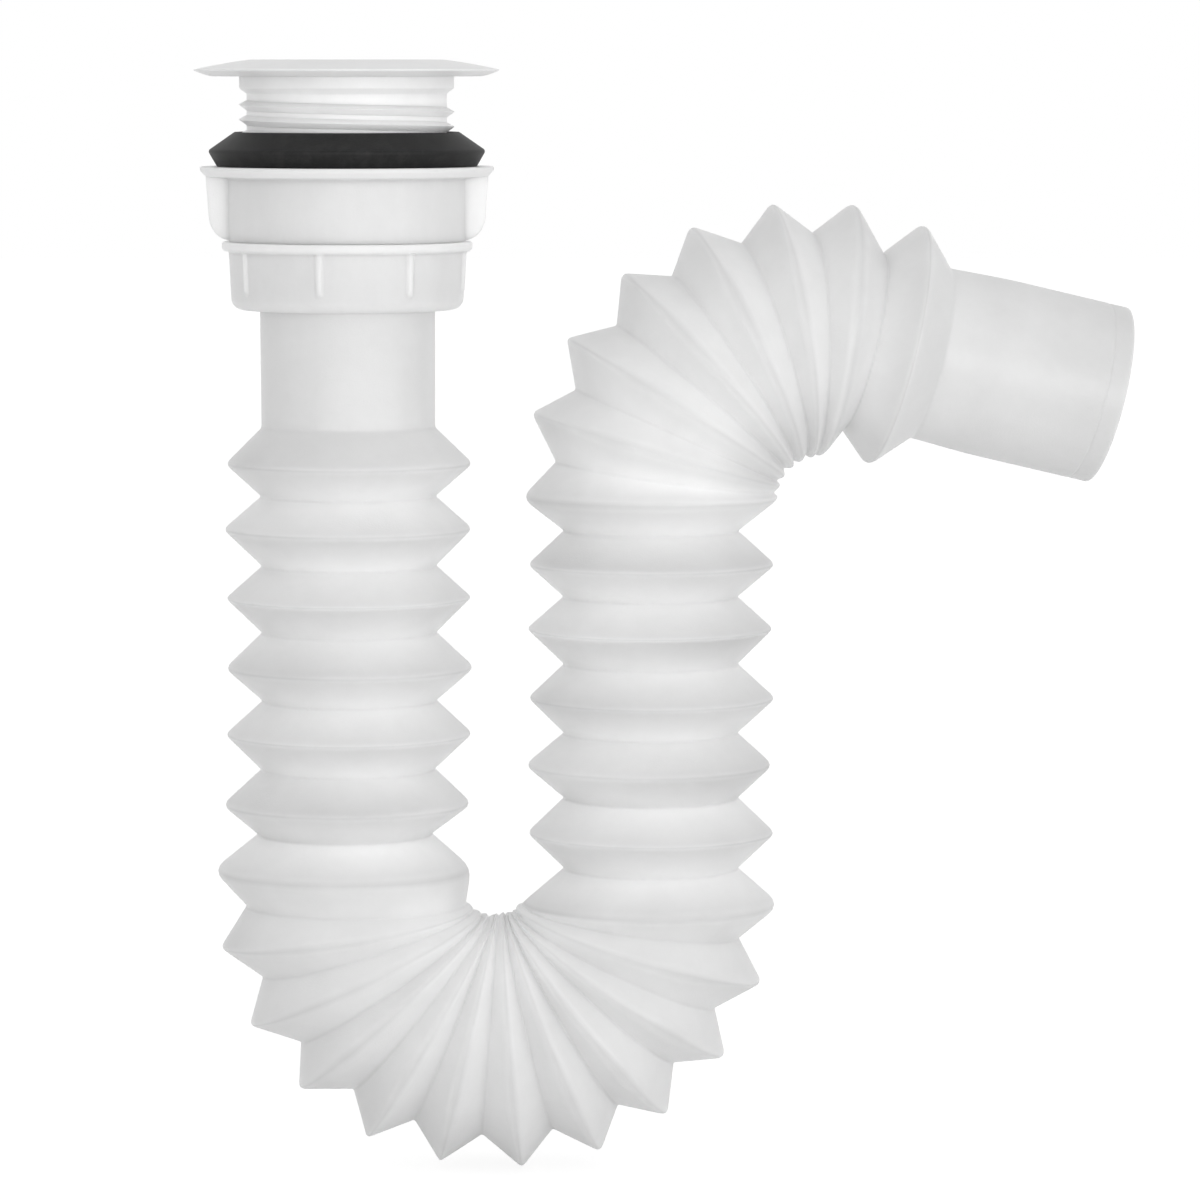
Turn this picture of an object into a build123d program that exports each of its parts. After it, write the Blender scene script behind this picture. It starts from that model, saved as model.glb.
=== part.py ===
from build123d import *
import os
from math import ceil, radians, sin

# Flexible trap: a flanged waste that hangs in a sink, clamped by a washer and a winged back nut,
# and a bellows hose on its tail, held by a union nut and bent into a water seal.
# The origin is on the waste's axis, in the flat seat under the flange. Lengths are in mm.

# Fits
running_clearance = 0.3
nut_gap = 0.3

# Waste flange
flange_diameter = 67.4
flange_crown = 3.5
flange_edge_height = 1.35
flange_seat_diameter = 58.0
flange_mouth_radius = 2.0

# Waste neck, with the thread at its full outside diameter
waste_bore = 38.0
collar_diameter = 47.4
collar_height = 2.8
relief_diameter = 44.1
relief_taper_height = 1.2
relief_height = 1.9
thread_diameter = 47.6
thread_start_height = 0.4
tail_chamfer = 1.0

# Grate moulded across the top of the bore
grate_depth = 3.5
grate_height = 3.0
grate_bar_width = 3.0
grate_hub_diameter = 11.0
grate_arms = 4
grate_arm_angle = 45.0
grate_root = 0.8

# Mounting washer, a rubber ring with two bevels
clamp_gap = 12.4
washer_height = 7.6
washer_diameter = 61.4
washer_top_diameter = 49.6
washer_bevel_height = 4.1
washer_foot_diameter = 57.4

# Winged back nut
back_nut_height = 16.25
back_nut_flange_diameter = 65.0
back_nut_flange_edge = 0.9
back_nut_flange_bevel = 1.2
back_nut_flange_fillet = 0.8
back_nut_diameter = 52.1
back_nut_chamfer = 0.6
wing_top_reach = 5.2
wing_foot_reach = 4.2
wing_foot_radius = 3.5
wing_foot_lift = 0.4
wing_thickness = 2.4
wing_root = 1.0

# Union nut with a bead round its top and upright grip ribs
union_nut_height = 15.0
union_floor = 2.0
bead_diameter = 55.4
bead_height = 1.9
bead_bulge = 1.0
union_top_diameter = 52.4
union_foot_diameter = 51.2
union_foot_radius = 2.6
rib_count = 8
rib_first_angle = 34.0
rib_diameter = 53.6
rib_width = 1.2
rib_length = 9.5
rib_root = 1.2

# Seal between the waste's tail and the hose's lip
seal_thickness = 2.0
seal_diameter = 46.8

# Hose ends
lip_thickness = 1.6
lip_diameter = 46.8
cuff_diameter = 38.8
cuff_length = 28.35
spigot_diameter = 40.0
spigot_length = 28.0
spigot_taper_length = 13.5
spigot_wall = 1.5

# Bellows of the hose. Roots lie at whole pleats and crests halfway between them.
root_diameter = 38.8
crest_diameter = 54.6
pleat_wall = 1.2
folded_pleat_wall = 3.0
folded_crest_reach = 1.8
folded_root_reach = 8.5
leg_pleats = 7
leg_pitch = 15.2
u_bend_radius = 33.6
u_bend_angle = 180.0
u_bend_pleats = 10.5
u_bend_crest_bulge = 0.2
u_bend_root_bulge = 0.8
u_bend_entry_bulge = 3.0
u_bend_entry_pleats = 3.5
u_bend_entry_angle = 75.0
u_bend_flattening = 1.6
riser_pleats = 6
riser_pitch = 15.15
outlet_turn = 7.0
top_bend_radius = 36.9
top_bend_angle = 103.4
top_bend_pleat_angle = 16.3
top_bend_crest_bulge = 1.7
top_bend_root_bulge = 2.4
outlet_pleats = 1
outlet_pitch = 15.2

# Levels of the stack under the flange
washer_top = -clamp_gap
back_nut_top = washer_top - washer_height
back_nut_bottom = back_nut_top - back_nut_height
union_top = back_nut_bottom - nut_gap
union_bottom = union_top - union_nut_height
lip_bottom = union_bottom + union_floor
lip_top = lip_bottom + lip_thickness
tail_end = lip_top + seal_thickness
leg_top = lip_bottom - cuff_length

# Radii that several pieces share
thread_radius = thread_diameter / 2
nut_bore_radius = thread_radius + running_clearance
waste_bore_radius = waste_bore / 2
cuff_radius = cuff_diameter / 2
hose_bore_radius = root_diameter / 2 - pleat_wall

os.makedirs("parts", exist_ok=True)


# Waste: crowned flange, collar, relief and threaded tail in one turned section
flange_radius = flange_diameter / 2
seat_radius = flange_seat_diameter / 2
crest_ring_radius = waste_bore_radius + flange_mouth_radius
collar_radius = collar_diameter / 2
relief_radius = relief_diameter / 2
relief_top = -collar_height - relief_taper_height
thread_top = relief_top - relief_height
mouth_bottom = flange_crown - flange_mouth_radius

with BuildPart() as waste_body:
    with BuildSketch(Plane.XZ):
        with BuildLine():
            Polyline(
                (seat_radius, 0),
                (collar_radius, 0),
                (collar_radius, -collar_height),
                (relief_radius, relief_top),
                (relief_radius, thread_top),
                (thread_radius, thread_top - thread_start_height),
                (thread_radius, tail_end + tail_chamfer),
                (thread_radius - tail_chamfer, tail_end),
                (waste_bore_radius, tail_end),
                (waste_bore_radius, mouth_bottom),
            )
            CenterArc((crest_ring_radius, mouth_bottom), flange_mouth_radius, 180, -90)
            EllipticalCenterArc(
                (crest_ring_radius, flange_edge_height),
                flange_radius - crest_ring_radius,
                flange_crown - flange_edge_height,
                start_angle=90,
                arc_size=-90,
            )
            EllipticalCenterArc(
                (seat_radius, flange_edge_height),
                flange_radius - seat_radius,
                flange_edge_height,
                start_angle=0,
                arc_size=-90,
            )
        make_face()
    revolve(axis=Axis.Z)
    with BuildSketch(Plane.XY.offset(flange_crown - grate_depth)):
        with PolarLocations(0, grate_arms, start_angle=grate_arm_angle):
            Rectangle(
                waste_bore_radius + grate_root,
                grate_bar_width,
                align=(Align.MIN, Align.CENTER),
            )
        Circle(grate_hub_diameter / 2)
    extrude(amount=-grate_height)

waste_body.part.label = "waste_body"
export_step(waste_body.part, "parts/waste_body.step")


# Mounting washer: widest between a long upper bevel and a short lower one
with BuildPart() as mounting_washer:
    with BuildSketch(Plane.XZ):
        with BuildLine():
            Polyline(
                (nut_bore_radius, washer_top),
                (washer_top_diameter / 2, washer_top),
                (washer_diameter / 2, washer_top - washer_bevel_height),
                (washer_foot_diameter / 2, back_nut_top),
                (nut_bore_radius, back_nut_top),
                close=True,
            )
        make_face()
    revolve(axis=Axis.Z)

mounting_washer.part.label = "mounting_washer"
export_step(mounting_washer.part, "parts/mounting_washer.step")


# Back nut: a thin flange with a bevel under its edge, and two tapered thumb wings below it
back_nut_radius = back_nut_diameter / 2
back_nut_flange_radius = back_nut_flange_diameter / 2
flange_edge_bottom = back_nut_top - back_nut_flange_edge
flange_bottom = flange_edge_bottom - back_nut_flange_bevel
fillet_bottom = flange_bottom - back_nut_flange_fillet
wing_bottom = back_nut_bottom + wing_foot_lift
wing_root_radius = back_nut_radius - wing_root

with BuildPart() as back_nut:
    with BuildSketch(Plane.XZ):
        with BuildLine():
            CenterArc(
                (back_nut_radius + back_nut_flange_fillet, fillet_bottom),
                back_nut_flange_fillet,
                90,
                90,
            )
            Polyline(
                (back_nut_radius, fillet_bottom),
                (back_nut_radius, back_nut_bottom + back_nut_chamfer),
                (back_nut_radius - back_nut_chamfer, back_nut_bottom),
                (nut_bore_radius, back_nut_bottom),
                (nut_bore_radius, back_nut_top),
                (back_nut_flange_radius, back_nut_top),
                (back_nut_flange_radius, flange_edge_bottom),
                (back_nut_flange_radius - back_nut_flange_bevel, flange_bottom),
                (back_nut_radius + back_nut_flange_fillet, flange_bottom),
            )
        make_face()
    revolve(axis=Axis.Z)
    with BuildSketch(Plane.XZ):
        with BuildLine():
            Polyline(
                (wing_root_radius, flange_edge_bottom),
                (back_nut_radius + wing_top_reach, flange_edge_bottom),
                (back_nut_radius + wing_foot_reach, wing_bottom),
                (wing_root_radius, wing_bottom),
                close=True,
            )
        make_face()
        fillet(vertices().sort_by(Axis.X)[2:].sort_by(Axis.Z)[0], wing_foot_radius)
        mirror(about=Plane.YZ)
    extrude(amount=wing_thickness / 2, both=True)

back_nut.part.label = "back_nut"
export_step(back_nut.part, "parts/back_nut.step")


# Union nut: a threaded cup with a floor that carries the hose's lip
union_top_radius = union_top_diameter / 2
union_foot_edge = union_foot_diameter / 2
bead_radius = bead_diameter / 2
bead_bottom = union_top - bead_height
union_hole_radius = cuff_radius + running_clearance

with BuildPart() as union_nut:
    with BuildSketch(Plane.XZ):
        with BuildLine():
            ThreePointArc(
                (bead_radius - bead_bulge, union_top),
                (bead_radius, union_top - bead_height / 2),
                (bead_radius - bead_bulge, bead_bottom),
            )
            Polyline(
                (bead_radius - bead_bulge, bead_bottom),
                (union_top_radius, bead_bottom),
                (union_foot_edge, union_bottom + union_foot_radius),
            )
            CenterArc(
                (union_foot_edge - union_foot_radius, union_bottom + union_foot_radius),
                union_foot_radius,
                0,
                -90,
            )
            Polyline(
                (union_foot_edge - union_foot_radius, union_bottom),
                (union_hole_radius, union_bottom),
                (union_hole_radius, lip_bottom),
                (nut_bore_radius, lip_bottom),
                (nut_bore_radius, union_top),
                (bead_radius - bead_bulge, union_top),
            )
        make_face()
    revolve(axis=Axis.Z)
    with BuildSketch(Plane.XY.offset(bead_bottom)):
        with PolarLocations(rib_diameter / 2, rib_count, start_angle=rib_first_angle):
            Rectangle(
                (rib_diameter - union_foot_diameter) / 2 + rib_root,
                rib_width,
                align=(Align.MAX, Align.CENTER),
            )
    extrude(amount=-rib_length)

union_nut.part.label = "union_nut"
export_step(union_nut.part, "parts/union_nut.step")


# Seal washer: a flat rubber ring, its hole in line with the hose's bore
with BuildPart() as seal_washer:
    with BuildSketch(Plane.XY.offset(lip_top)):
        Circle(seal_diameter / 2)
        Circle(hose_bore_radius, mode=Mode.SUBTRACT)
    extrude(amount=seal_thickness)

seal_washer.part.label = "seal_washer"
export_step(seal_washer.part, "parts/seal_washer.step")


# Line of the bellows, counted in pleats from the foot of the upper cuff.
# A place's z axis points along the hose and its x axis to the inside of the U-bend.
u_bend_start = leg_pleats
u_bend_end = u_bend_start + u_bend_pleats
top_bend_start = u_bend_end + riser_pleats
top_bend_end = top_bend_start + top_bend_angle / top_bend_pleat_angle
last_pleat = ceil(top_bend_end) + outlet_pleats


def along(place, length):
    """Place that lies straight ahead on the hose's line."""
    return place * Pos(0, 0, length)


def around(place, radius, angle):
    """Place further round a bend, to the side of +x for a positive radius and angle."""
    return place * Pos(radius, 0, 0) * Rot(0, angle, 0) * Pos(-radius, 0, 0)


leg_start = Plane((0, 0, leg_top), x_dir=(1, 0, 0), z_dir=(0, 0, -1)).location
u_bend_place = along(leg_start, leg_pleats * leg_pitch)
riser_place = around(u_bend_place, u_bend_radius, u_bend_angle)
top_bend_place = along(riser_place, riser_pleats * riser_pitch) * Rot(0, 0, outlet_turn)
outlet_place = around(top_bend_place, -top_bend_radius, -top_bend_angle)
spigot_place = along(outlet_place, (last_pleat - top_bend_end) * outlet_pitch)


def pleat_place(pleat):
    """Place on the hose's line at a number of pleats from its start."""
    if pleat <= u_bend_start:
        return along(leg_start, pleat * leg_pitch)
    if pleat <= u_bend_end:
        turned = (pleat - u_bend_start) * u_bend_angle / u_bend_pleats
        return around(u_bend_place, u_bend_radius, turned)
    if pleat <= top_bend_start:
        return along(riser_place, (pleat - u_bend_end) * riser_pitch)
    if pleat <= top_bend_end:
        turned = (pleat - top_bend_start) * top_bend_pleat_angle
        return around(top_bend_place, -top_bend_radius, -turned)
    return along(outlet_place, (pleat - top_bend_end) * outlet_pitch)


def bend_share(pleat, start, end):
    """Part of the pleat round a ring that lies in a bend, from 0 to 1."""
    return max(0, min(pleat + 0.5, end) - max(pleat - 0.5, start))


def u_bend_share(pleat):
    """Share of a ring in the U-bend, which swells half a pleat before its start."""
    return bend_share(pleat, u_bend_start - 0.5, u_bend_end)


def bent_share(pleat):
    """Share of a ring in either bend."""
    return u_bend_share(pleat) + bend_share(pleat, top_bend_start, top_bend_end)


def u_bend_swelling(pleat):
    """How far the U-bend swells at its entry, less how far it is flattened at its foot."""
    turned = max(0, pleat - u_bend_start) * u_bend_angle / u_bend_pleats
    ahead = max(0, u_bend_start - pleat)
    rise = max(0, 1 - ahead / u_bend_entry_pleats) ** 2
    entry = u_bend_entry_bulge * rise * max(0, 1 - turned / u_bend_entry_angle)
    return entry - u_bend_flattening * sin(radians(min(turned, u_bend_angle)))


def is_crest(pleat):
    """Whether the ring at a number of pleats is a crest and not a root."""
    return pleat % 1 == 0.5


def ring_radius(pleat):
    """Outside radius of the ring at a number of pleats."""
    return (crest_diameter if is_crest(pleat) else root_diameter) / 2


def ring_wall(pleat):
    """Radial thickness of the wall at a ring, the mean of the two sides of its bend."""
    return pleat_wall + bent_share(pleat) * fold_thickening


def ring_reach(pleat):
    """How far a ring is drawn out to the inside of a bend, where its pleats are pressed together."""
    return folded_crest_reach if is_crest(pleat) else folded_root_reach


def ring_plane(pleat, shift=0.0):
    """Plane of a ring, moved to the outside of its bend by the bulge and a further shift."""
    u_share = u_bend_share(pleat)
    top_share = bend_share(pleat, top_bend_start, top_bend_end)
    u_bulge = u_bend_crest_bulge if is_crest(pleat) else u_bend_root_bulge
    top_bulge = top_bend_crest_bulge if is_crest(pleat) else top_bend_root_bulge
    offset = top_share * (top_bulge + shift) - u_share * (u_bulge + shift)
    return Plane(pleat_place(pleat) * Pos(offset - u_bend_swelling(pleat), 0, 0))


# Bellows hose: each pleat is ruled from root to crest to root, outside and inside.
# On the inside of a bend the pleats are folded tight, so the outside has shallow folds there
# and the wall is thicker.
root_crest_root = (0, 0.5, 1)
fold_thickening = (folded_pleat_wall - pleat_wall) / 2
spigot_radius = spigot_diameter / 2
spigot_end = spigot_taper_length + spigot_length
spigot_plane = Plane(spigot_place * Rot(90, 0, 0))

with BuildPart() as bellows_hose:
    for pleat in range(last_pleat):
        for step in root_crest_root:
            half_reach = ring_reach(pleat + step) / 2
            radius = ring_radius(pleat + step)
            with BuildSketch(ring_plane(pleat + step, -half_reach)):
                Ellipse(radius + bent_share(pleat + step) * half_reach, radius)
        loft(ruled=True)
    for pleat in range(last_pleat):
        for step in root_crest_root:
            with BuildSketch(ring_plane(pleat + step, fold_thickening)):
                Circle(ring_radius(pleat + step) - ring_wall(pleat + step))
        loft(ruled=True, mode=Mode.SUBTRACT)
    with BuildSketch(Plane.XZ):
        with BuildLine():
            Polyline(
                (hose_bore_radius, lip_top),
                (lip_diameter / 2, lip_top),
                (lip_diameter / 2, lip_bottom),
                (cuff_radius, lip_bottom),
                (root_diameter / 2, leg_top),
                (hose_bore_radius, leg_top),
                close=True,
            )
        make_face()
    revolve(axis=Axis.Z)
    with BuildSketch(spigot_plane):
        with BuildLine():
            Polyline(
                (hose_bore_radius, 0),
                (root_diameter / 2, 0),
                (spigot_radius, spigot_taper_length),
                (spigot_radius, spigot_end),
                (spigot_radius - spigot_wall, spigot_end),
                (spigot_radius - spigot_wall, spigot_taper_length),
                close=True,
            )
        make_face()
    revolve(axis=Axis(spigot_plane.origin, spigot_plane.y_dir))

bellows_hose.part.label = "bellows_hose"
export_step(bellows_hose.part, "parts/bellows_hose.step")
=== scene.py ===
"""Looks of the flexible trap: milky moulded plastic, a bellows hose and black rubber rings.

Sizes are in millimetres and become metres where a mesh is made. The origin is on the waste's
axis, in the seat under its flange, as in the frame.
"""

import logging
import math
import random
from abc import ABC, abstractmethod
from collections.abc import Callable, Sequence
from dataclasses import dataclass, field
from enum import Enum
from typing import Any

import bmesh
import bpy
import numpy as np
from mathutils import Matrix, Vector


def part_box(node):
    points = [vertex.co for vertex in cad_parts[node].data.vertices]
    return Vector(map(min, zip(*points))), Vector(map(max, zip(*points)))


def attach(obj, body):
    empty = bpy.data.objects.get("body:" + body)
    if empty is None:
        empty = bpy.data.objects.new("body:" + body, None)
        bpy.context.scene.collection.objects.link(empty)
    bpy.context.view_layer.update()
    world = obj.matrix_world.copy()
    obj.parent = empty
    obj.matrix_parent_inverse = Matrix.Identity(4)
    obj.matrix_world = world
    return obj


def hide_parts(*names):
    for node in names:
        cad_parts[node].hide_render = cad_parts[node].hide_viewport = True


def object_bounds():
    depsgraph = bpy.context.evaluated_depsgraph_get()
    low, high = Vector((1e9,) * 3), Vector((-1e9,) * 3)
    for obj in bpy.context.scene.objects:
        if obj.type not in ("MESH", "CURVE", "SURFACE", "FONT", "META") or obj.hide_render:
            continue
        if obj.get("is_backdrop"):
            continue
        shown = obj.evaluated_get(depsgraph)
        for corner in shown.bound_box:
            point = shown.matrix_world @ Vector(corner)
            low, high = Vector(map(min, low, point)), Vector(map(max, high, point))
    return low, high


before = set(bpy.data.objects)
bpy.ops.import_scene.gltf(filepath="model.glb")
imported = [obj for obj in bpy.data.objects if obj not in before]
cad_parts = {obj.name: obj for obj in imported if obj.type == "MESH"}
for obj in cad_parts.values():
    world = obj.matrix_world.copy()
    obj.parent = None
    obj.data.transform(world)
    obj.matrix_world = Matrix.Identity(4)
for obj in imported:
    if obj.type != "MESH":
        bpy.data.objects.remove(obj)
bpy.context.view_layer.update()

log = logging.getLogger("flexible_trap")

MILLIMETRE = 0.001


class Slot(Enum):
    """Material slots of the record."""

    MOULDED = "moulded_plastic"
    HOSE = "hose_plastic"
    RUBBER = "black_rubber"


class Body(Enum):
    """Bodies that the pieces ride on."""

    WASTE = "waste"
    CLAMP_WASHER = "clamp_washer"
    WING_NUT = "wing_nut"
    SEAL = "seal"
    COUPLING_NUT = "coupling_nut"
    HOSE = "hose"


class Mark(Enum):
    """Vertex values that the finishes read.

    The mark is painted light and shade on the milky plastic, from 0 where it is dim to 1 where it is
    white; on the hose it also stands for thinner walls at the crests. It is set to match the
    photograph and isn't a measured wall.
    """

    PAINTED_LIGHT_AND_WALL = "painted_light_and_wall"


@dataclass(frozen=True)
class Extent:
    """Reach of a node about the waste's axis, in millimetres."""

    radius: float
    bottom: float
    top: float

    @classmethod
    def of(cls, node: str) -> "Extent":
        """Reads a round node's reach from the frame.

        Args:
            node: Name of the node.

        Returns:
            Its outside radius across Y, and its lowest and highest level.
        """
        low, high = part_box(node)
        return cls(high.y / MILLIMETRE, low.z / MILLIMETRE, high.z / MILLIMETRE)


@dataclass(frozen=True)
class Corner:
    """Corner of a turned section, with the radius that rounds it."""

    radius: float
    height: float
    fillet: float = 0.0


class Section:
    """Closed outline of a turned piece, in the half plane of radius and height."""

    ARC_STEP = math.radians(12.0)
    REACH = 0.48

    def __init__(self, corners: Sequence[Corner], spacing: float = 2.0) -> None:
        """Keeps the corners in order round the outline.

        Args:
            corners: Corners of the outline.
            spacing: Longest step along a straight stretch.
        """
        self.corners = list(corners)
        self.spacing = spacing

    def points(self) -> np.ndarray:
        """Rounds the corners and divides the straight stretches.

        Returns:
            Points of the outline, one row of radius and height each.
        """
        outline: list[np.ndarray] = []
        count = len(self.corners)
        for index, corner in enumerate(self.corners):
            before = self.corners[index - 1]
            after = self.corners[(index + 1) % count]
            arc = self._arc(before, corner, after)
            if outline:
                outline.extend(self._between(outline[-1], arc[0]))
            outline.extend(arc)
        outline.extend(self._between(outline[-1], outline[0]))
        return np.array(outline)

    def _between(self, start: np.ndarray, end: np.ndarray) -> list[np.ndarray]:
        """Points inside a straight stretch, without its ends."""
        steps = math.ceil(np.linalg.norm(end - start) / self.spacing)
        return [start + (end - start) * step / steps for step in range(1, steps)]

    def _arc(self, before: Corner, corner: Corner, after: Corner) -> list[np.ndarray]:
        """Rounds one corner.

        Args:
            before: Corner that comes before it.
            corner: Corner to round.
            after: Corner that comes after it.

        Returns:
            Points of the arc, or the corner itself where it is sharp.
        """
        place = np.array([corner.radius, corner.height])
        back = np.array([before.radius, before.height]) - place
        ahead = np.array([after.radius, after.height]) - place
        room = self.REACH * min(np.linalg.norm(back), np.linalg.norm(ahead))
        back /= np.linalg.norm(back)
        ahead /= np.linalg.norm(ahead)
        half_angle = math.acos(float(np.clip(back @ ahead, -1.0, 1.0))) / 2
        turn = math.pi - 2 * half_angle
        if corner.fillet <= 0 or turn < self.ARC_STEP / 2:
            return [place]
        tangent = min(corner.fillet / math.tan(half_angle), room)
        fillet = tangent * math.tan(half_angle)
        middle = place + (back + ahead) / np.linalg.norm(back + ahead) * fillet / math.sin(half_angle)
        start = place + back * tangent - middle
        end = place + ahead * tangent - middle
        steps = max(2, math.ceil(turn / self.ARC_STEP))
        shares = [step / steps for step in range(steps + 1)]
        return [
            middle + (math.sin((1 - s) * turn) * start + math.sin(s * turn) * end) / math.sin(turn)
            for s in shares
        ]


@dataclass
class Draft:
    """Vertices and faces of a piece while it is put together, in millimetres."""

    vertices: list[np.ndarray] = field(default_factory=list)
    faces: list[tuple[int, ...]] = field(default_factory=list)
    marks: dict[Mark, list[np.ndarray]] = field(default_factory=dict)
    count: int = 0

    def add_grid(
        self,
        grid: np.ndarray,
        ring_rows: bool = True,
        marks: dict[Mark, np.ndarray] | None = None,
    ) -> None:
        """Adds a sheet of four-sided faces, whose last column joins the first.

        Args:
            grid: Points by row and column.
            ring_rows: Whether the last row joins the first.
            marks: Values for each point of the grid.
        """
        rows, columns = grid.shape[:2]
        base = self.count
        self.vertices.append(grid.reshape(-1, 3))
        self.count += rows * columns
        for mark, values in (marks or {}).items():
            self.marks.setdefault(mark, []).append(values.reshape(-1))
        for row in range(rows if ring_rows else rows - 1):
            here = base + row * columns
            there = base + (row + 1) % rows * columns
            for column in range(columns):
                beside = (column + 1) % columns
                self.faces.append((here + column, here + beside, there + beside, there + column))

    def add_cap(self, first: int, size: int) -> None:
        """Closes an end with one face over a run of vertices."""
        self.faces.append(tuple(range(first, first + size)))

    def make(self, name: str, sharp_angle: float) -> bpy.types.Object:
        """Turns the draft into an object of the scene.

        Args:
            name: Name of the piece.
            sharp_angle: Edges that turn by more than this, in degrees, stay crisp.

        Returns:
            The new object, in metres.
        """
        mesh = bpy.data.meshes.new(name)
        points = np.concatenate(self.vertices) * MILLIMETRE
        mesh.from_pydata(points.tolist(), [], self.faces)
        shaped = bmesh.new()
        shaped.from_mesh(mesh)
        bmesh.ops.recalc_face_normals(shaped, faces=shaped.faces)
        shaped.to_mesh(mesh)
        shaped.free()
        mesh.shade_smooth()
        mesh.set_sharp_from_angle(angle=math.radians(sharp_angle))
        for mark, values in self.marks.items():
            layer = mesh.attributes.new(mark.value, "FLOAT", "POINT")
            layer.data.foreach_set("value", np.concatenate(values).astype(np.float32))
        piece = bpy.data.objects.new(name, mesh)
        bpy.context.scene.collection.objects.link(piece)
        return piece


Relief = Callable[[np.ndarray, np.ndarray, np.ndarray], np.ndarray]


def even_angles(count: int) -> np.ndarray:
    """Angles spread evenly round a circle."""
    return np.linspace(0.0, 2 * math.pi, count, endpoint=False)


def crowded_angles(count: int, centres: Sequence[float], half_width: float, extra: int) -> np.ndarray:
    """Angles round a circle that lie closer together about some centres.

    Args:
        count: Number of even angles.
        centres: Angles that need more detail.
        half_width: Reach of the detail to each side.
        extra: Number of angles that each centre adds.

    Returns:
        All angles in rising order, from 0 to a full turn.
    """
    close = [np.linspace(centre - half_width, centre + half_width, extra) for centre in centres]
    merged = np.concatenate([even_angles(count), *close]) % (2 * math.pi)
    return np.unique(merged.round(5))


def angle_from(angles: np.ndarray, centre: float) -> np.ndarray:
    """Signed angles from a centre, from minus half a turn to half a turn."""
    return (angles - centre + math.pi) % (2 * math.pi) - math.pi


def smooth_step(low: float, high: float, values: np.ndarray) -> np.ndarray:
    """Values eased from 0 at low to 1 at high."""
    share = np.clip((values - low) / (high - low), 0.0, 1.0)
    return share * share * (3 - 2 * share)


def turned_grid(section: Section, angles: np.ndarray, relief: Relief | None = None) -> np.ndarray:
    """Turns a section about the waste's axis.

    Args:
        section: Closed outline to turn.
        angles: Angles of the columns.
        relief: Gives how far each point stands out, from its radius, height and angle.

    Returns:
        Points by row and column.
    """
    outline = section.points()
    radius = np.repeat(outline[:, :1], len(angles), axis=1)
    height = np.repeat(outline[:, 1:], len(angles), axis=1)
    turn = np.repeat(angles[None, :], len(outline), axis=0)
    if relief is not None:
        radius = radius + relief(radius, height, turn)
    return np.stack([radius * np.cos(turn), radius * np.sin(turn), height], axis=-1)


class Value:
    """A shader value or colour that Python arithmetic can use."""

    def __init__(self, graph: "Graph", socket: bpy.types.NodeSocket) -> None:
        """Wraps an output socket of a graph's node."""
        self.graph = graph
        self.socket = socket

    def _math(self, operation: str, first: Any, second: Any) -> "Value":
        """Adds a Math node and returns its result."""
        node = self.graph.add("ShaderNodeMath", {"operation": operation}, {0: first, 1: second})
        return self.graph.out(node, 0)

    def __add__(self, other: Any) -> "Value":
        """Sum with a value or number."""
        return self._math("ADD", self, other)

    def __radd__(self, other: Any) -> "Value":
        """Sum with a number on the left."""
        return self._math("ADD", other, self)

    def __sub__(self, other: Any) -> "Value":
        """Difference to a value or number."""
        return self._math("SUBTRACT", self, other)

    def __mul__(self, other: Any) -> "Value":
        """Product with a value or number."""
        return self._math("MULTIPLY", self, other)

    def at_most(self, other: Any) -> "Value":
        """The smaller of this and another value."""
        return self._math("MINIMUM", self, other)


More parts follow.
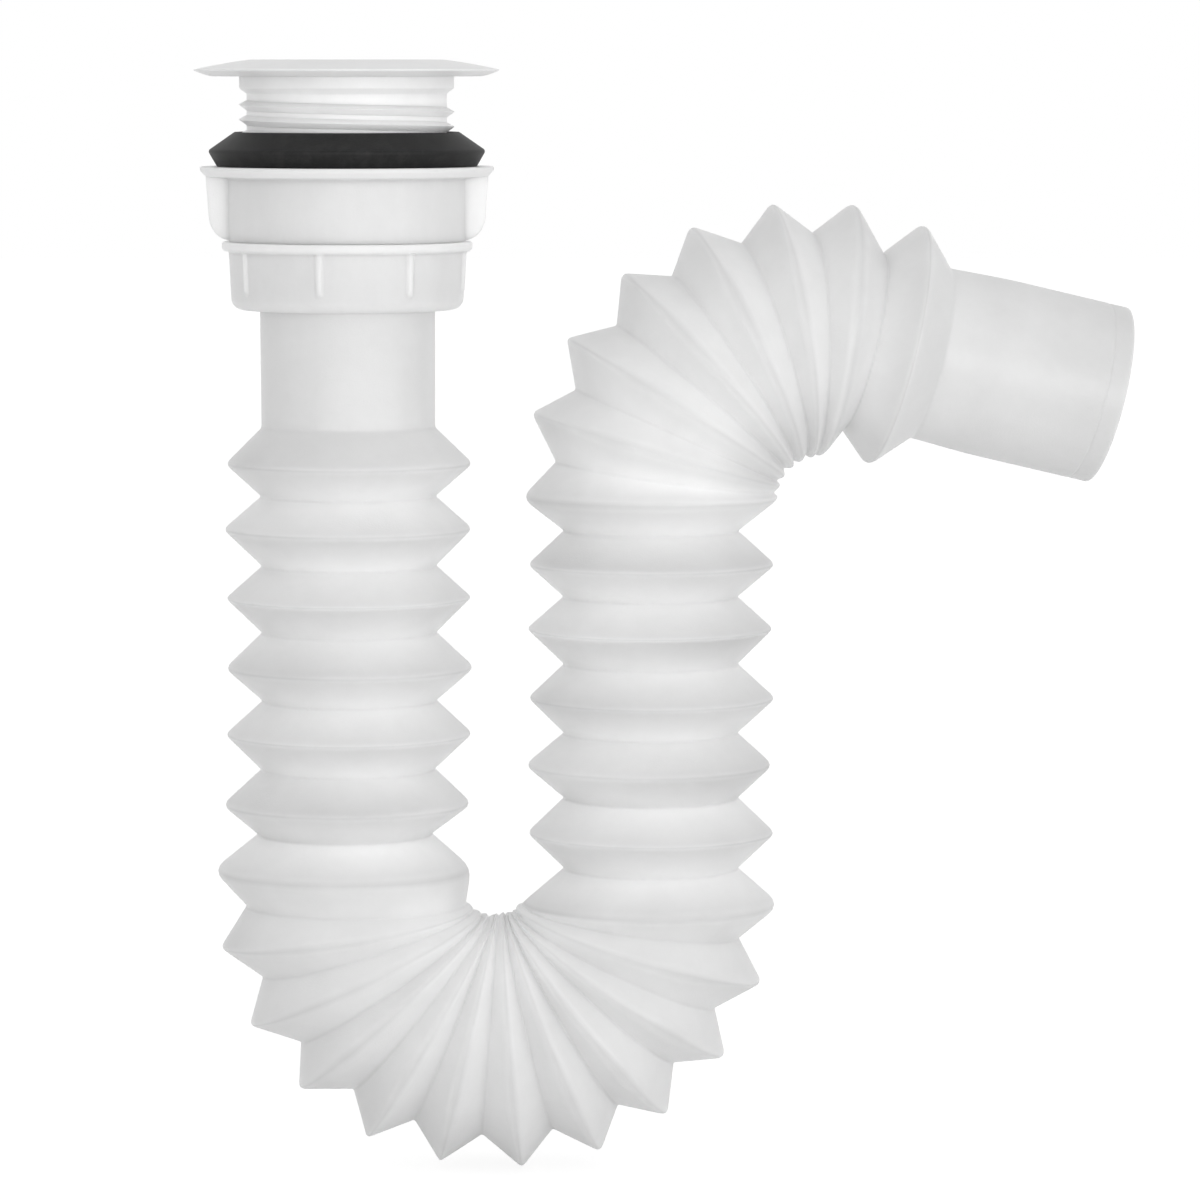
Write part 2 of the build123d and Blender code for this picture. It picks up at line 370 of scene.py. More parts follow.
class Graph:
    """Node tree of a material or of the world."""

    def __init__(self, tree: bpy.types.NodeTree) -> None:
        """Clears the tree."""
        self.tree = tree
        tree.nodes.clear()

    def add(
        self,
        kind: str,
        settings: dict[str, Any] | None = None,
        inputs: dict[str | int, Any] | None = None,
    ) -> bpy.types.Node:
        """Adds one node.

        Args:
            kind: Type of the node.
            settings: Properties of the node, set first. A ramp takes its stops as "stops".
            inputs: Values or links of its sockets, by name or number.

        Returns:
            The new node.
        """
        node = self.tree.nodes.new(kind)
        for key, setting in (settings or {}).items():
            if key == "stops":
                self._set_stops(node, setting)
            else:
                setattr(node, key, setting)
        for key, given in (inputs or {}).items():
            socket = node.inputs[key]
            if isinstance(given, Value):
                self.tree.links.new(given.socket, socket)
            elif isinstance(given, bpy.types.NodeSocket):
                self.tree.links.new(given, socket)
            else:
                socket.default_value = given
        return node

    @staticmethod
    def _set_stops(node: bpy.types.Node, stops: Sequence[tuple[float, float]]) -> None:
        """Gives a ramp its grey stops, each a position and a level."""
        elements = node.color_ramp.elements
        while len(elements) < len(stops):
            elements.new(1.0)
        for element, (position, level) in zip(elements, stops):
            element.position = position
            element.color = (level, level, level, 1.0)

    def out(self, node: bpy.types.Node, key: str | int) -> Value:
        """Wraps a node's output."""
        return Value(self, node.outputs[key])

    def noise(self, place: Value, scale: float, detail: float, roughness: float = 0.5) -> Value:
        """Adds a noise pattern.

        Args:
            place: Coordinates of the pattern.
            scale: Features to the metre.
            detail: Number of finer layers.
            roughness: Strength of the finer layers.

        Returns:
            The pattern's value.
        """
        inputs = {"Vector": place, "Scale": scale, "Detail": detail, "Roughness": roughness}
        return self.out(self.add("ShaderNodeTexNoise", None, inputs), "Fac")

    def ramp(self, value: Value, stops: Sequence[tuple[float, float]]) -> Value:
        """Maps a value through grey stops."""
        return self.out(self.add("ShaderNodeValToRGB", {"stops": stops}, {"Fac": value}), "Color")

    def mix(self, share: Value, first: Any, second: Any) -> Value:
        """Mixes two colours.

        Args:
            share: Part of the second colour. Past 0 or 1, it goes on beyond the two.
            first: Colour or link at 0.
            second: Colour or link at 1.

        Returns:
            The mixed colour.
        """
        inputs = {"Factor": share, 6: first, 7: second}
        node = self.add("ShaderNodeMix", {"data_type": "RGBA", "clamp_factor": False}, inputs)
        return self.out(node, 2)

    def place(self) -> Value:
        """Coordinates of the piece in its own frame, in metres."""
        return self.out(self.add("ShaderNodeTexCoord"), "Object")

    def stretched(self, place: Value, scale: tuple[float, float, float]) -> Value:
        """Coordinates that are scaled along each axis."""
        inputs = {0: place, 1: scale}
        return self.out(self.add("ShaderNodeVectorMath", {"operation": "MULTIPLY"}, inputs), 0)

    def mark(self, mark: Mark) -> Value:
        """Value that a piece carries on its vertices."""
        node = self.add("ShaderNodeAttribute", {"attribute_name": mark.value})
        return self.out(node, "Fac")

    def bump(self, height: Value, strength: float, distance: float) -> Value:
        """Adds a Bump node.

        Args:
            height: Pattern of the relief.
            strength: Share of the relief that shows.
            distance: Height of the relief in metres.

        Returns:
            The bent normal.
        """
        inputs = {"Height": height, "Strength": strength, "Distance": distance}
        return self.out(self.add("ShaderNodeBump", None, inputs), "Normal")


Colour = tuple[float, float, float, float]


def grey(level: float, warmth: float = 0.0) -> Colour:
    """A near-neutral colour, a little warmer or cooler."""
    return (level * (1 + warmth), level, level * (1 - warmth), 1.0)


class Finish(ABC):
    """A finish that makes its own material."""

    name: str

    def material(self) -> bpy.types.Material:
        """Makes the material.

        Returns:
            A material with a Principled shader that this finish has set.
        """
        material = bpy.data.materials.new(self.name)
        material.use_nodes = True
        graph = Graph(material.node_tree)
        shader = graph.add("ShaderNodeBsdfPrincipled", None, self.inputs(graph))
        graph.add("ShaderNodeOutputMaterial", None, {"Surface": shader.outputs[0]})
        return material

    @abstractmethod
    def inputs(self, graph: Graph) -> dict[str | int, Any]:
        """Values and links of the shader's sockets."""


@dataclass(frozen=True)
class MilkyPlastic(Finish):
    """White polyolefin: a little see-through, satin, with faint clouds and a fine grain."""

    name: str
    level: float
    clouding: float = 0.07
    cloud_scale: float = 90.0
    cloud_stretch: float = 1.0
    cloud_detail: float = 6.0
    cloud_roughness: float = 0.62
    gloss_roughness: float = 0.36
    roughness_spread: float = 0.14
    grain_scale: float = 2600.0
    grain_height: float = 0.00004
    ripple_scale: float = 120.0
    ripple_height: float = 0.00012
    light_depth: float = 0.0030
    light_share: float = 0.35
    # Colour level where the mark paints shade, on the hose also where its walls are thinner; level is
    # where the mark paints light.
    thin_painted_shade_level: float | None = None

    def inputs(self, graph: Graph) -> dict[str | int, Any]:
        """Values and links of the shader's sockets."""
        place = graph.place()
        drawn_out = graph.stretched(place, (1.0, 1.0, 1 / self.cloud_stretch))
        cloud = graph.noise(drawn_out, self.cloud_scale, self.cloud_detail, self.cloud_roughness)
        grain = graph.noise(place, self.grain_scale, 2.0)
        ripple = graph.noise(place, self.ripple_scale, 2.0)
        colour = self._clouded(graph, cloud, self.level)
        roughness = self.gloss_roughness + (cloud - 0.5) * self.roughness_spread
        # Painted light and shade: the colour runs from the shaded level to the lit level along the mark.
        if self.thin_painted_shade_level is not None:
            painted_shade_colour = self._clouded(graph, cloud, self.thin_painted_shade_level)
            colour = graph.mix(graph.mark(Mark.PAINTED_LIGHT_AND_WALL), painted_shade_colour, colour)
        height = ripple * (self.ripple_height / self.grain_height) + grain
        return {
            "Base Color": colour,
            "Roughness": roughness,
            "Normal": graph.bump(height, 1.0, self.grain_height),
            "IOR": 1.49,
            "Specular IOR Level": 0.45,
            "Subsurface Weight": self.light_share,
            "Subsurface Radius": (1.0, 1.0, 1.0),
            "Subsurface Scale": self.light_depth,
        }

    def _clouded(self, graph: Graph, cloud: Value, level: float) -> Value:
        """A level of white that varies with the clouds."""
        pale = grey(level * (1 + self.clouding))
        deep = grey(level * (1 - self.clouding))
        return graph.mix(cloud, deep, pale)


@dataclass(frozen=True)
class BlackRubber(Finish):
    """Moulded black rubber: dull, with a fine stipple and a breath of pale dust."""

    name: str
    level: float = 0.011
    dust_level: float = 0.06
    dust_share: float = 0.25
    dust_scale: float = 260.0
    dust_roughness: float = 0.3
    speck_share: float = 0.25
    stipple_scale: float = 2200.0
    stipple_height: float = 0.00007
    roughness: float = 0.56

    def inputs(self, graph: Graph) -> dict[str | int, Any]:
        """Values and links of the shader's sockets."""
        place = graph.place()
        stipple = graph.noise(place, self.stipple_scale, 3.0, 0.6)
        bloom = graph.noise(place, self.dust_scale, 4.0, 0.65)
        dust = graph.ramp(bloom, [(0.46, 0.0), (0.72, 1.0)]) * self.dust_share
        specks = graph.ramp(stipple, [(0.62, 0.0), (0.74, 1.0)]) * self.speck_share
        colour = graph.mix(dust + specks, grey(self.level), grey(self.dust_level, 0.01))
        return {
            "Base Color": colour,
            "Roughness": self.roughness + dust * self.dust_roughness,
            "Normal": graph.bump(stipple, 0.8, self.stipple_height),
            "Specular IOR Level": 0.25,
        }


@dataclass
class Finishes:
    """Materials of the whole trap, made once."""

    moulded: bpy.types.Material = field(
        default_factory=lambda: MilkyPlastic(
            "moulded_plastic",
            0.85,
            clouding=0.08,
            cloud_stretch=2.5,
            light_depth=0.006,
            light_share=0.9,
        ).material()
    )
    waste: bpy.types.Material = field(
        default_factory=lambda: MilkyPlastic(
            "waste_plastic", 0.87, thin_painted_shade_level=0.80, clouding=0.08
        ).material()
    )
    hose: bpy.types.Material = field(
        default_factory=lambda: MilkyPlastic(
            "hose_plastic", 0.985, thin_painted_shade_level=0.735, clouding=0.06, light_share=0.7
        ).material()
    )
    rubber: bpy.types.Material = field(
        default_factory=lambda: BlackRubber("black_rubber").material()
    )


@dataclass
class Piece(ABC):
    """A piece of the trap that stands for one node of the frame."""

    finish: bpy.types.Material
    name: str
    node: str
    body: Body
    slot: Slot
    sharp_angle: float = 50.0

    @abstractmethod
    def draft(self) -> Draft:
        """Shapes the piece."""

    def build(self) -> bpy.types.Object:
        """Makes the piece, dresses it and sets it on its body.

        Returns:
            The finished object.
        """
        piece = self.draft().make(self.name, self.sharp_angle)
        piece.data.materials.append(self.finish)
        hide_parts(self.node)
        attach(piece, self.body.value)
        log.info("%s: %d faces on %s", self.name, len(piece.data.polygons), self.body.value)
        return piece


@dataclass
class Waste(Piece):
    """Flanged waste with a crowned rim, a grate and a coarse thread on its tail."""

    name: str = "waste"
    node: str = "waste_body"
    body: Body = Body.WASTE
    slot: Slot = Slot.MOULDED
    bore_radius: float = 19.0
    mouth_fillet: float = 2.0
    rim_height: float = 1.35
    rim_edge: float = 0.25
    crown_power: float = 1.25
    under_power: float = 1.5
    seat_radius: float = 29.0
    collar_radius: float = 23.7
    collar_height: float = 2.8
    relief_radius: float = 22.05
    relief_bottom: float = -5.9
    relief_top: float = -4.0
    tail_chamfer: float = 1.0
    crown_steps: int = 14
    columns: int = 192
    thread_radius: float = 23.8
    thread_root: float = 22.1
    thread_lead: float = 3.27
    thread_top: float = -4.7
    thread_start: float = 0.0
    thread_steps: int = 120
    thread_run_out: float = 0.3
    thread_run_out_width: float = 0.25
    thread_sunk: float = 0.3
    thread_tip_share: float = 0.86
    thread_tip_rise: float = 0.16
    thread_tip_drop: float = 0.20
    thread_upper_flank: float = 0.95
    thread_upper_foot: float = 1.15
    thread_lower_flank: float = 1.25
    thread_lower_foot: float = 1.5
    # Painted light on the neck under the flange and on the threaded tail.
    neck_painted_light: float = 0.7
    thread_painted_light: float = 2.2
    grate_top: float = 0.0
    grate_height: float = 3.0
    grate_width: float = 3.0
    grate_edge: float = 0.5
    hub_radius: float = 5.5
    hub_axis: float = 0.01
    hub_columns: int = 48
    grate_arms: int = 4
    grate_turn: float = math.pi / 4
    arm_into_hub: float = 1.0
    arm_into_wall: float = 0.6

    def draft(self) -> Draft:
        """Shapes the turned body, its thread and its grate."""
        extent = Extent.of(self.node)
        draft = Draft()
        grid = turned_grid(self._section(extent), even_angles(self.columns))
        # Painted light: the neck under the flange and the threaded tail are painted paler than the
        # flange, against the shade that the flange and the thread's flanks cast there.
        neck_share = 1 - smooth_step(-self.collar_height, 0.0, grid[..., 2])
        thread_share = 1 - smooth_step(self.relief_bottom, self.relief_top, grid[..., 2])
        wall = self.neck_painted_light * neck_share + (self.thread_painted_light - self.neck_painted_light) * thread_share
        draft.add_grid(grid, marks={Mark.PAINTED_LIGHT_AND_WALL: wall})
        self._add_thread(draft, extent.bottom + self.tail_chamfer)
        self._add_grate(draft)
        return draft

    def _section(self, extent: Extent) -> Section:
        """Outline over the crowned rim, back under it to the seat, down the neck and up the bore."""
        crown_start = self.bore_radius + self.mouth_fillet
        reach = extent.radius - crown_start
        rise = extent.top - self.rim_height
        shares = [step / self.crown_steps for step in range(self.crown_steps + 1)]
        crown = [
            Corner(crown_start + reach * share, self.rim_height + rise * (1 - share**self.crown_power))
            for share in shares
        ]
        under_reach = extent.radius - self.seat_radius
        under = [
            Corner(
                extent.radius - under_reach * share,
                self.rim_height * (1 - share) ** self.under_power - self.rim_edge,
            )
            for share in shares[:-1:2]
        ]
        under.append(Corner(self.seat_radius, 0.0))
        neck = [
            Corner(self.collar_radius, 0.0, 0.5),
            Corner(self.collar_radius, -self.collar_height, 0.4),
            Corner(self.relief_radius, self.relief_top, 0.5),
            Corner(self.thread_root, self.relief_bottom, 0.2),
            Corner(self.thread_root, extent.bottom, 0.4),
            Corner(self.bore_radius, extent.bottom, 0.4),
            Corner(self.bore_radius, extent.top, self.mouth_fillet),
        ]
        return Section(crown + under + neck, spacing=3.0)

    def _add_thread(self, draft: Draft, bottom: float) -> None:
        """Adds the thread as one ridge that winds down the tail.

        Args:
            draft: Draft of the waste.
            bottom: Level where the thread runs out.
        """
        turns = (self.thread_top - bottom) / self.thread_lead - 0.5
        steps = round(turns * self.thread_steps)
        travel = np.linspace(0.0, turns, steps + 1)
        angles = self.thread_start + 2 * math.pi * travel
        levels = self.thread_top - self.thread_lead * travel
        run_in = smooth_step(0.0, self.thread_run_out, travel)
        height = run_in * smooth_step(0.0, self.thread_run_out, turns - travel)
        width = self.thread_run_out_width + (1 - self.thread_run_out_width) * height
        depth = self.thread_radius - self.thread_root
        flank = [
            (-self.thread_sunk, self.thread_upper_foot),
            (0.0, self.thread_upper_flank),
            (self.thread_tip_share, self.thread_tip_rise),
            (1.0, 0.0),
            (self.thread_tip_share, -self.thread_tip_drop),
            (0.0, -self.thread_lower_flank),
            (-self.thread_sunk, -self.thread_lower_foot),
        ]
        grid = np.empty((len(flank), steps + 1, 3))
        for row, (share, rise) in enumerate(flank):
            lift = np.where(share > 0, share * height, share)
            radius = self.thread_root + depth * lift
            level = levels + rise * width
            grid[row] = np.stack([radius * np.cos(angles), radius * np.sin(angles), level], axis=-1)
        grid = grid.transpose(1, 0, 2)
        # The thread ridge carries the tail's painted light.
        wall = np.full(grid.shape[:2], self.thread_painted_light)
        draft.add_grid(grid, ring_rows=False, marks={Mark.PAINTED_LIGHT_AND_WALL: wall})
        first = draft.count - grid.shape[0] * grid.shape[1]
        draft.add_cap(first, len(flank))
        draft.add_cap(draft.count - len(flank), len(flank))

    def _add_grate(self, draft: Draft) -> None:
        """Adds the hub and the bars that cross the bore."""
        top = self.grate_top
        bottom = top - self.grate_height
        hub = Section(
            [
                Corner(self.hub_axis, top),
                Corner(self.hub_radius, top, 0.7),
                Corner(self.hub_radius, bottom, self.grate_edge),
                Corner(self.hub_axis, bottom),
            ]
        )
        grid = turned_grid(hub, even_angles(self.hub_columns))
        draft.add_grid(grid, marks={Mark.PAINTED_LIGHT_AND_WALL: np.zeros(grid.shape[:2])})
        half = self.grate_width / 2
        edge = self.grate_edge
        outline = Section(
            [
                Corner(half, top, edge),
                Corner(half, bottom, edge),
                Corner(-half, bottom, edge),
                Corner(-half, top, edge),
            ],
            spacing=1.5,
        ).points()
        ends = [self.hub_radius - self.arm_into_hub, self.bore_radius + self.arm_into_wall]
        for arm in range(self.grate_arms):
            turn = self.grate_turn + 2 * math.pi * arm / self.grate_arms
            outwards = np.array([math.cos(turn), math.sin(turn), 0.0])
            across = np.array([-math.sin(turn), math.cos(turn), 0.0])
            bar = np.array(
                [
                    [outwards * reach + across * side + [0, 0, level] for side, level in outline]
                    for reach in ends
                ]
            )
            draft.add_grid(bar, ring_rows=False, marks={Mark.PAINTED_LIGHT_AND_WALL: np.zeros(bar.shape[:2])})
            draft.add_cap(draft.count - 2 * len(outline), len(outline))
            draft.add_cap(draft.count - len(outline), len(outline))


@dataclass
class MountingWasher(Piece):
    """Rubber ring with a long bevel above its widest edge and a short one below."""

    name: str = "mounting_washer_ring"
    node: str = "mounting_washer"
    body: Body = Body.CLAMP_WASHER
    slot: Slot = Slot.RUBBER
    bore_radius: float = 24.1
    top_radius: float = 24.8
    foot_radius: float = 28.7
    bevel_height: float = 4.1
    edge_fillet: float = 0.7
    columns: int = 192

    def draft(self) -> Draft:
        """Shapes the ring."""
        extent = Extent.of(self.node)
        section = Section(
            [
                Corner(self.bore_radius, extent.top, 0.2),
                Corner(self.top_radius, extent.top, 0.3),
                Corner(extent.radius, extent.top - self.bevel_height, self.edge_fillet),
                Corner(self.foot_radius, extent.bottom, 0.4),
                Corner(self.bore_radius, extent.bottom, 0.2),
            ],
            spacing=1.0,
        )
        draft = Draft()
        draft.add_grid(turned_grid(section, even_angles(self.columns)))
        return draft


@dataclass
class BackNut(Piece):
    """Back nut with a thin flange and two thumb wings."""

    name: str = "winged_back_nut"
    node: str = "back_nut"
    body: Body = Body.WING_NUT
    slot: Slot = Slot.MOULDED
    bore_radius: float = 24.1
    barrel_radius: float = 26.05
    lip_height: float = 0.9
    lip_bevel: float = 1.2
    lip_reach: float = 1.2
    foot_reach: float = 0.27
    wing_top_reach: float = 5.2
    wing_foot_reach: float = 4.2
    wing_foot_round: float = 5.0
    wing_half_thickness: float = 1.2
    wing_edge_power: float = 14.0
    wing_root_rise: float = 0.16
    wing_root_spread: float = 0.55
    wing_crowding: float = math.radians(7.0)
    wing_columns: int = 91
    columns: int = 160

    def draft(self) -> Draft:
        """Shapes the nut, with the wings drawn out of its barrel."""
        extent = Extent.of(self.node)
        lip_bottom = extent.top - self.lip_height - self.lip_bevel
        section = Section(
            [
                Corner(self.bore_radius, extent.top, 0.2),
                Corner(extent.radius, extent.top, 0.3),
                Corner(extent.radius - 0.1, extent.top - self.lip_height, 0.4),
                Corner(extent.radius - self.lip_reach, lip_bottom, 0.35),
                Corner(self.barrel_radius, lip_bottom - 0.4, 0.8),
                Corner(self.barrel_radius, extent.bottom - self.foot_reach, 0.12),
                Corner(self.bore_radius, extent.bottom - self.foot_reach, 0.1),
            ],
            spacing=0.45,
        )
        angles = crowded_angles(self.columns, [0.0, math.pi], self.wing_crowding, self.wing_columns)
        draft = Draft()
        grid = turned_grid(section, angles, lambda r, z, a: self._wings(r, z, a, extent, lip_bottom))
        draft.add_grid(grid)
        return draft

    def _wings(
        self,
        radius: np.ndarray,
        height: np.ndarray,
        angle: np.ndarray,
        extent: Extent,
        lip_bottom: float,
    ) -> np.ndarray:
        """How far the wings stand out of the barrel.

        Args:
            radius: Radius of each point of the turned nut.
            height: Level of each point.
            angle: Angle of each point.
            extent: Reach of the whole nut.
            lip_bottom: Level of the flange's underside.

        Returns:
            Distance that each point moves outwards.
        """
        drop = np.clip((lip_bottom - height) / (lip_bottom - extent.bottom), 0.0, 1.0)
        reach = self.wing_top_reach + (self.wing_foot_reach - self.wing_top_reach) * drop
        above_foot = height - extent.bottom
        rounding = np.clip(1 - above_foot / self.wing_foot_round, 0.0, 1.0)
        reach = reach * np.sqrt(np.clip(1 - rounding**2, 0.0, 1.0))
        side = np.minimum(np.abs(angle_from(angle, 0.0)), np.abs(angle_from(angle, math.pi)))
        outer = self.barrel_radius + reach
        offset = np.sin(side) * outer
        edge = np.clip(np.abs(offset) / self.wing_half_thickness, 0.0, 4.0)
        plate = 1 / (1 + np.maximum(edge, 1e-3) ** self.wing_edge_power)
        beside = np.maximum(edge - 1, 0) / self.wing_root_spread
        root = self.wing_root_rise * np.exp(-(beside**2))
        share = np.clip(plate + root * (1 - plate), 0.0, 1.0)
        on_barrel = smooth_step(self.barrel_radius - 1.0, self.barrel_radius - 0.3, radius)
        on_barrel = on_barrel * (height < lip_bottom + 0.3)
        room = np.maximum(outer - radius, 0.0)
        return room * share * on_barrel


@dataclass
class UnionNut(Piece):
    """Union nut with a bead round its top, upright grip ribs and a rounded foot."""

    name: str = "ribbed_union_nut"
    node: str = "union_nut"
    body: Body = Body.COUPLING_NUT
    slot: Slot = Slot.MOULDED
    bore_radius: float = 24.1
    hole_radius: float = 19.7
    floor: float = 2.0
    bead_height: float = 1.9
    top_radius: float = 26.2
    foot_radius: float = 25.6
    foot_fillet: float = 2.6
    rib_count: int = 8
    rib_first_angle: float = math.radians(34.0)
    rib_half_width: float = 0.75
    rib_stand: float = 0.75
    rib_length: float = 9.5
    rib_power: float = 3.0
    rib_crowding: float = math.radians(4.0)
    rib_columns: int = 29
    columns: int = 160

    def draft(self) -> Draft:
        """Shapes the nut, with the ribs drawn out of its wall."""
        extent = Extent.of(self.node)
        bead_bottom = extent.top - self.bead_height
        section = Section(
            [
                Corner(self.bore_radius, extent.top, 0.1),
                Corner(extent.radius, extent.top, 0.5),
                Corner(extent.radius, bead_bottom, 0.85),
                Corner(self.top_radius, bead_bottom - 0.25, 0.5),
                Corner(self.foot_radius, extent.bottom, self.foot_fillet),
                Corner(self.hole_radius, extent.bottom, 0.4),
                Corner(self.hole_radius, extent.bottom + self.floor, 0.2),
                Corner(self.bore_radius, extent.bottom + self.floor, 0.2),
            ],
            spacing=0.5,
        )
        step = 2 * math.pi / self.rib_count
        ribs = [self.rib_first_angle + step * rib for rib in range(self.rib_count)]
        angles = crowded_angles(self.columns, ribs, self.rib_crowding, self.rib_columns)
        draft = Draft()
        grid = turned_grid(section, angles, lambda r, z, a: self._ribs(r, z, a, bead_bottom))
        draft.add_grid(grid)
        return draft

    def _ribs(
        self, radius: np.ndarray, height: np.ndarray, angle: np.ndarray, bead_bottom: float
    ) -> np.ndarray:
        """How far the ribs stand out of the wall.

        Args:
            radius: Radius of each point of the turned nut.
            height: Level of each point.
            angle: Angle of each point.
            bead_bottom: Level where the ribs start.

        Returns:
            Distance that each point moves outwards.
        """
        step = 2 * math.pi / self.rib_count
        nearest = (angle - self.rib_first_angle + step / 2) % step - step / 2
        offset = np.sin(nearest) * radius / self.rib_half_width
        profile = np.exp(-(np.abs(offset) ** self.rib_power))
        rib_bottom = bead_bottom - self.rib_length
        along = smooth_step(rib_bottom - 0.4, rib_bottom + 1.0, height)
        on_wall = smooth_step(self.foot_radius - 1.6, self.foot_radius - 0.6, radius)
        below_bead = height < bead_bottom
        return self.rib_stand * profile * along * on_wall * below_bead


@dataclass
class SealWasher(Piece):
    """Flat rubber ring between the waste's tail and the hose's lip."""

    name: str = "seal_ring"
    node: str = "seal_washer"
    body: Body = Body.SEAL
    slot: Slot = Slot.RUBBER
    bore_radius: float = 18.2
    edge_fillet: float = 0.35
    columns: int = 128

    def draft(self) -> Draft:
        """Shapes the ring."""
        extent = Extent.of(self.node)
        section = Section(
            [
                Corner(self.bore_radius, extent.top, self.edge_fillet),
                Corner(extent.radius, extent.top, self.edge_fillet),
                Corner(extent.radius, extent.bottom, self.edge_fillet),
                Corner(self.bore_radius, extent.bottom, self.edge_fillet),
            ],
            spacing=1.2,
        )
        draft = Draft()
        draft.add_grid(turned_grid(section, even_angles(self.columns)))
        return draft


@dataclass(frozen=True)
class Ring:
    """One ring of the hose's wall: its points, the rounding of its edge and its painted light and shade.
    """

    points: np.ndarray
    rounding: np.ndarray | float
    # wall is the ring's painted light and shade; line is how much more of it is painted along the middle
    # of its edge.
    wall: np.ndarray | float = 0.5
    line: float = 0.0

    def marks(self, nearness: float) -> np.ndarray:
        """Painted light and shade round a row of the ring, by its nearness to the edge's middle."""
        return np.zeros(len(self.points)) + self.wall + self.line * nearness


@dataclass(frozen=True)
class Station:
    """Where a root or crest of the bellows lies, and how much of it is in each stretch."""

    pleat: float
    is_crest: bool
    at_end: bool
    u_share: float
    top_share: float
    riser_share: float
    into_top: float

    @property
    def bent_share(self) -> float:
        """Part of it that lies in a bend, from 0 to 1."""
        return self.u_share + self.top_share


@dataclass
class BellowsHose(Piece):
    """Blown bellows hose: lip and cuff, leg, U-bend, riser, top bend and outlet spigot."""

    name: str = "bellows_hose_skin"
    node: str = "bellows_hose"
    body: Body = Body.HOSE
    slot: Slot = Slot.HOSE
    sharp_angle: float = 75.0
    lip_top: float = -47.95
    lip_bottom: float = -49.55
    lip_radius: float = 23.4
    cuff_radius: float = 19.4
    leg_top: float = -77.9
    root_radius: float = 19.4
    crest_radius: float = 27.3
    wall: float = 1.2
    folded_wall: float = 3.0
    folded_crest_reach: float = 2.6
    folded_root_reach: float = 10.3
    leg_pleats: int = 7
    leg_pitch: float = 15.2
    u_bend_radius: float = 33.6
    u_bend_pleats: float = 10.5
    u_bend_crest_bulge: float = 0.8
    u_bend_root_bulge: float = 1.4
    u_bend_entry_bulge: float = 2.3
    u_bend_entry_pleats: float = 3.5
    u_bend_entry_angle: float = math.radians(75.0)
    u_bend_flattening: float = 2.2
    riser_pleats: int = 6
    riser_pitch: float = 15.15
    riser_slide: float = 0.7
    outlet_turn: float = math.radians(7.0)
    top_bend_radius: float = 36.9
    top_bend_angle: float = math.radians(103.4)
    top_bend_step: float = math.radians(16.3)
    top_bend_crest_bulge: float = 1.7
    top_bend_root_bulge: float = 2.4
    outlet_pleats: int = 1
    outlet_pitch: float = 15.2
    spigot_radius: float = 20.0
    spigot_taper: float = 13.5
    spigot_length: float = 28.0
    spigot_wall: float = 1.5
    trim_line: float = 4.4
    trim_depth: float = 0.14
    trim_far_depth: float = 0.03
    trim_before: float = 0.3
    trim_after: float = 0.4
    lip_rounding: float = 0.3
    taper_rounding: float = 4.0
    trim_edge_rounding: float = 0.1
    trim_rounding: float = 0.15
    end_rounding: float = 0.35
    rounding_limit: float = 0.45
    rounding_spread: tuple[float, float] = (0.7, 1.5)
    crest_rounding: float = 1.0
    root_rounding: float = 0.6
    # Painted light and shade of the folds: roots painted pale and crest middles painted dim, as light
    # falls in the folds; the dim crests also stand for thinner walls there.
    crest_wall_and_painted_shade: float = 0.0
    crest_painted_shade_line: float = -0.55
    root_wall_and_painted_light: float = 1.0
    root_painted_light_line: float = 0.05
    side_fade: tuple[float, float] = (0.3, 0.95)
    inner_fade: tuple[float, float] = (0.1, 0.9)
    top_tone_fade: tuple[float, float] = (-0.3, 0.4)
    bend_softness: float = 3.0
    bend_crest_painted_shade_line: float = -0.45
    bend_crest_wall_and_painted_shade: float = 0.04
    bend_root_painted_light_line: float = 0.0
    bend_root_wall_and_painted_light: float = 0.12
    bend_root_rise: float = 4.4
    # Painted light on the inside of the U-bend and at the top bend's entry, painted shade on the inside
    # of the top bend, and the riser painted lighter on its side towards the leg and darker on the far
    # side.
    u_bend_inner_painted_light: float = 0.3
    top_bend_inner_painted_shade: float = -0.25
    top_bend_entry_painted_light: float = 0.32
    riser_painted_side_light: float = 0.33
    outlet_root_drop: float = 1.2
    cuff_wall: float = 0.0
    end_root_wall: float = 0.1
    outlet_root_wall_and_painted_light: float = 0.4
    spigot_end_painted_shade: float = -0.36
    crest_wobble: float = 0.22
    root_wobble: float = 0.10
    pitch_wobble: float = 0.25
    wobble_orders: tuple[int, ...] = (1, 2, 3, 5)
    wobble_range: tuple[float, float] = (-2.2, 1.2)
    wobble_phase: float = 6.28
    columns: int = 144
    corner_samples: int = 5
    seed: int = 41

    def __post_init__(self) -> None:
        """Works out where each stretch of the hose starts."""
        self.dice = random.Random(self.seed)
        self.u_start = float(self.leg_pleats)
        self.u_end = self.u_start + self.u_bend_pleats
        self.top_start = self.u_end + self.riser_pleats
        self.top_end = self.top_start + self.top_bend_angle / self.top_bend_step
        self.last_pleat = math.ceil(self.top_end) + self.outlet_pleats
        self.leg_place = Matrix(((1, 0, 0, 0), (0, -1, 0, 0), (0, 0, -1, self.leg_top), (0, 0, 0, 1)))
        self.u_place = self._along(self.leg_place, self.leg_pleats * self.leg_pitch)
        self.riser_place = self._around(self.u_place, self.u_bend_radius, math.pi)
        turned = Matrix.Rotation(self.outlet_turn, 4, "Z")
        self.top_place = self._along(self.riser_place, self.riser_pleats * self.riser_pitch) @ turned
        self.outlet_place = self._around(self.top_place, -self.top_bend_radius, -self.top_bend_angle)
        straight = (self.last_pleat - self.top_end) * self.outlet_pitch
        self.spigot_place = self._along(self.outlet_place, straight)

